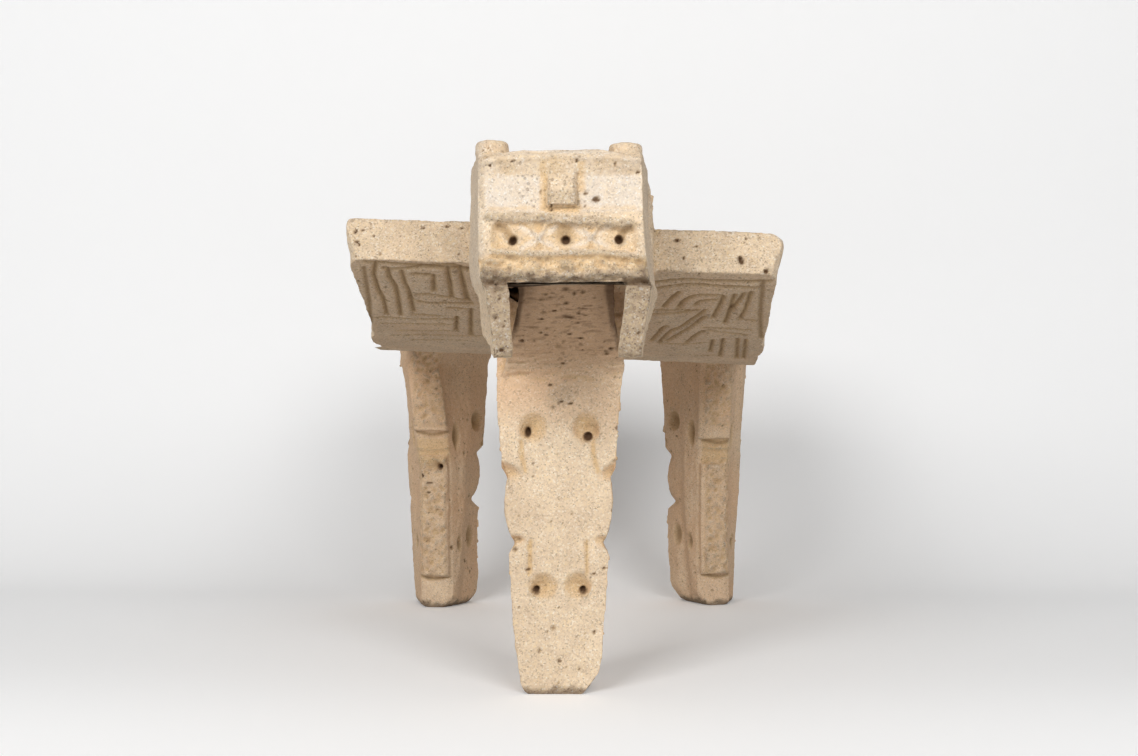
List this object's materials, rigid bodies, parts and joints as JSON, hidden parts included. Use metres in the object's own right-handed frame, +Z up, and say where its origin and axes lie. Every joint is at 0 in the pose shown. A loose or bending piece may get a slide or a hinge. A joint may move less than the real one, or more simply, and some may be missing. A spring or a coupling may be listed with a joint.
{
  "type": "tripod metate",
  "caption": "Stone grinding table with a lengthwise hollow, three scalloped legs and an animal head with an open mouth at one end.",
  "frame": {"origin": "on the ground, below the middle of the whole stone's box", "axes": "+Z up, +Y from the head towards the rear legs, +X to the right of someone who faces the head"},
  "size_m": [0.3296, 0.5742, 0.3417],
  "materials": {
    "volcanic_stone": "porous, rough, pale tan"
  },
  "bodies": {
    "root": {"plate": "volcanic_stone", "front_leg": "volcanic_stone", "left_rear_leg": "volcanic_stone", "right_rear_leg": "volcanic_stone", "head": "volcanic_stone", "left_cheek": "volcanic_stone", "right_cheek": "volcanic_stone", "throat": "volcanic_stone", "left_ear": "volcanic_stone", "right_ear": "volcanic_stone"}
  },
  "joints": []
}
